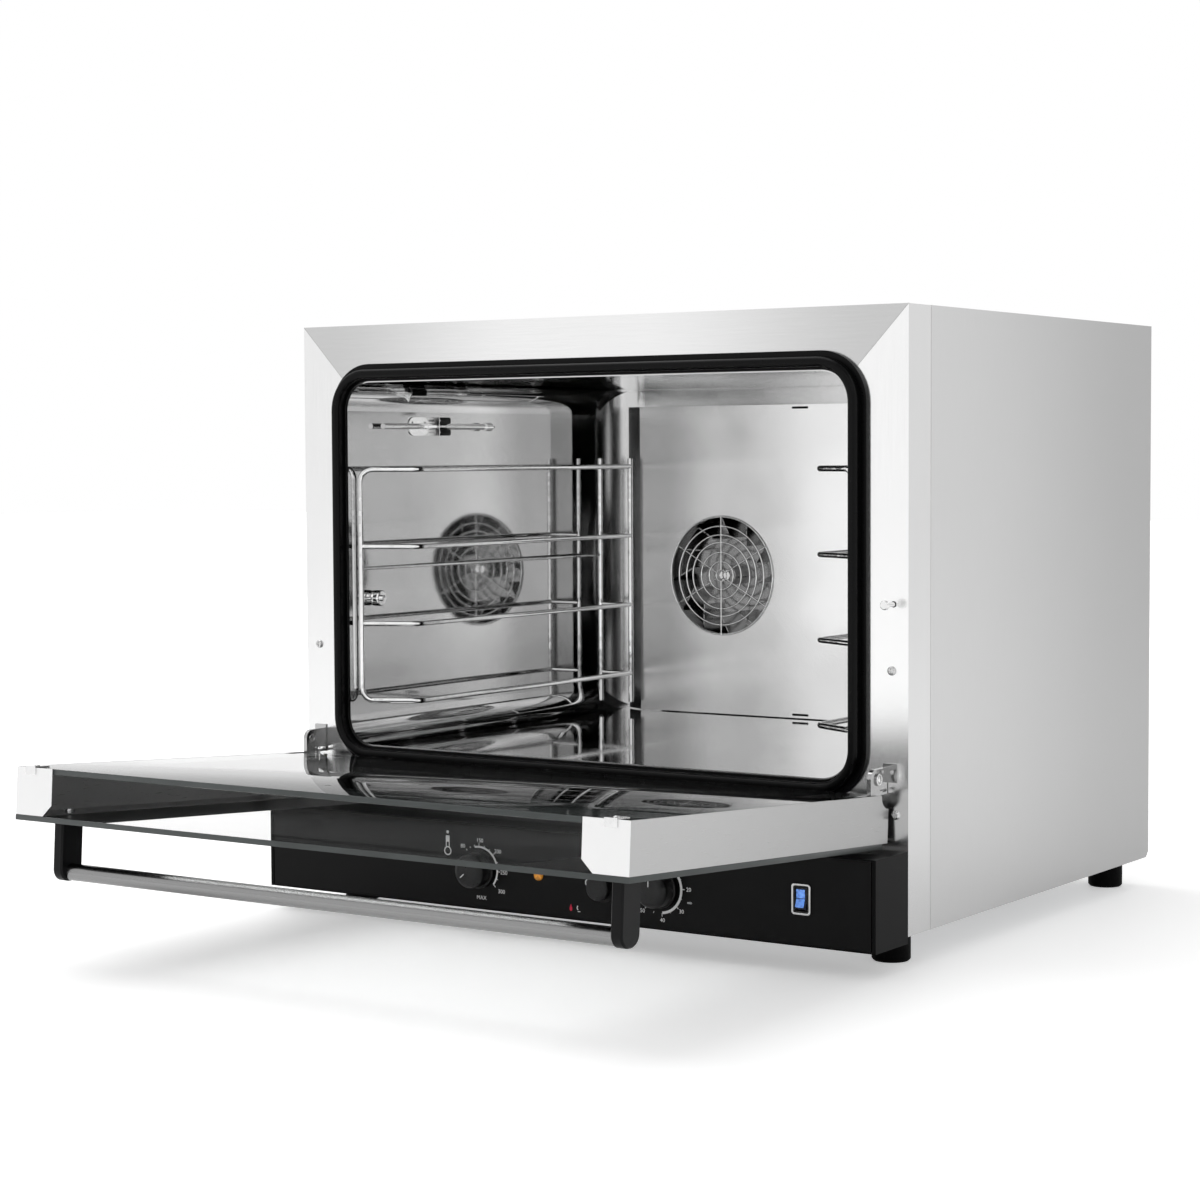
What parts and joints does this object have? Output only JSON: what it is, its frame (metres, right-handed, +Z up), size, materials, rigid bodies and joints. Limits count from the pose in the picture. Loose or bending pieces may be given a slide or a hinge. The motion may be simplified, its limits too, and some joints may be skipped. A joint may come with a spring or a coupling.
{
  "type": "convection oven",
  "caption": "Countertop convection oven with an open drop-down glass door, wire side racks, rear fans and a control panel under the door.",
  "frame": {"origin": "on the floor under the feet, in the middle of the bounding box with the door open", "axes": "+X to the right seen from the front, +Y from the door to the rear panel, +Z up"},
  "size_m": [0.68, 0.9672, 0.58],
  "materials": {
    "brushed_panels": "brushed",
    "plain_sheet": "satin",
    "polished_liner": "polished",
    "bright_wire": "polished",
    "handle_steel": "brushed",
    "element_steel": "oxidised",
    "dark_paint": "satin",
    "motor_paint": "matt",
    "black_silicone": "satin",
    "foot_rubber": "matt",
    "black_plastic": "matt",
    "knob_plastic": "satin",
    "bracket_plastic": "satin",
    "amber_lens": "clear amber",
    "blue_lens": "clear blue",
    "clear_glass": "clear",
    "insulation_board": "fibrous"
  },
  "bodies": {
    "cabinet": {"side_panel_left": "brushed_panels", "side_panel_right": "brushed_panels", "top_panel": "brushed_panels", "base_pan": "plain_sheet", "feet": "foot_rubber", "rear_panel": "plain_sheet", "cable_gland": "black_plastic", "front_stile_left": "brushed_panels", "front_stile_right": "brushed_panels", "front_header": "brushed_panels", "front_sill": "brushed_panels", "cavity_wrapper": "polished_liner", "cavity_rear": "polished_liner", "insulation": "insulation_board", "door_gasket": "black_silicone", "fan_baffle": "polished_liner", "fan_guards": "bright_wire", "heating_element_left": "element_steel", "heating_element_right": "element_steel", "fan_motor_left": "motor_paint", "fan_motor_right": "motor_paint", "thermostat_bulb": "bright_wire", "bulb_bracket": "plain_sheet", "side_rack_left": "bright_wire", "side_rack_right": "bright_wire", "rack_fixings": "bright_wire", "control_box": "dark_paint", "control_panel": "dark_paint", "thermostat_body": "black_plastic", "timer_body": "black_plastic", "button_switch": "black_plastic", "pilot_lamp": "amber_lens", "rocker_housing": "black_plastic", "door_switch": "black_plastic", "hinge_arm_left": "plain_sheet", "hinge_arm_right": "plain_sheet", "cabinet_screws": "bright_wire"},
    "door": {"door_channel_left": "plain_sheet", "door_channel_right": "plain_sheet", "hinge_body_left": "plain_sheet", "hinge_body_right": "plain_sheet", "hinge_pins": "bright_wire", "inner_pane": "clear_glass", "outer_pane": "clear_glass", "pane_clips": "bright_wire", "handle_bracket_left": "bracket_plastic", "handle_bracket_right": "bracket_plastic", "handle_tube": "handle_steel", "handle_bolts": "bright_wire"},
    "thermostat_control": {"thermostat_spindle": "bright_wire", "thermostat_knob": "knob_plastic"},
    "timer_control": {"timer_spindle": "bright_wire", "timer_knob": "knob_plastic"},
    "button": {"push_button": "knob_plastic"},
    "mains_rocker": {"rocker": "blue_lens"},
    "door_plunger": {"door_switch_plunger": "bright_wire"},
    "fan_left": {"fan_impeller_left": "brushed_panels", "motor_shaft_left": "bright_wire"},
    "fan_right": {"fan_impeller_right": "brushed_panels", "motor_shaft_right": "bright_wire"}
  },
  "joints": [
    {"name": "door_hinge", "type": "hinge", "parent": "cabinet", "child": "door", "pos_m": [0, -0.09038, 0.1475], "axis": [-1, 0, 0], "range_deg": [0, 86.3]},
    {"name": "thermostat_turn", "type": "hinge", "parent": "cabinet", "child": "thermostat_control", "pos_m": [-0.081, -0.12788, 0.062], "axis": [0, 1, 0], "range_deg": [0, 310]},
    {"name": "timer_turn", "type": "hinge", "parent": "cabinet", "child": "timer_control", "pos_m": [0.122, -0.12788, 0.062], "axis": [0, 1, 0], "range_deg": [0, 265]},
    {"name": "button_press", "type": "slide", "parent": "cabinet", "child": "button", "axis": [0, 1, 0], "range_m": [0, 0.0035], "stiffness_N_per_m": 300},
    {"name": "rocker_tip", "type": "hinge", "parent": "cabinet", "child": "mains_rocker", "pos_m": [0.268, -0.12538, 0.0655], "axis": [1, 0, 0], "range_deg": [0, 16]},
    {"name": "plunger_push", "type": "slide", "parent": "cabinet", "child": "door_plunger", "axis": [0, 1, 0], "range_m": [0, 0.0062]},
    {"name": "fan_left_spin", "type": "hinge", "parent": "cabinet", "child": "fan_left", "pos_m": [-0.115, 0.41162, 0.3175], "axis": [0, 1, 0], "continuous": true},
    {"name": "fan_right_spin", "type": "hinge", "parent": "cabinet", "child": "fan_right", "pos_m": [0.115, 0.41162, 0.3175], "axis": [0, 1, 0], "continuous": true}
  ],
  "couplings": [
    {"joint": "plunger_push", "follows": "door_hinge", "m_per_rad": 0.003983}
  ]
}
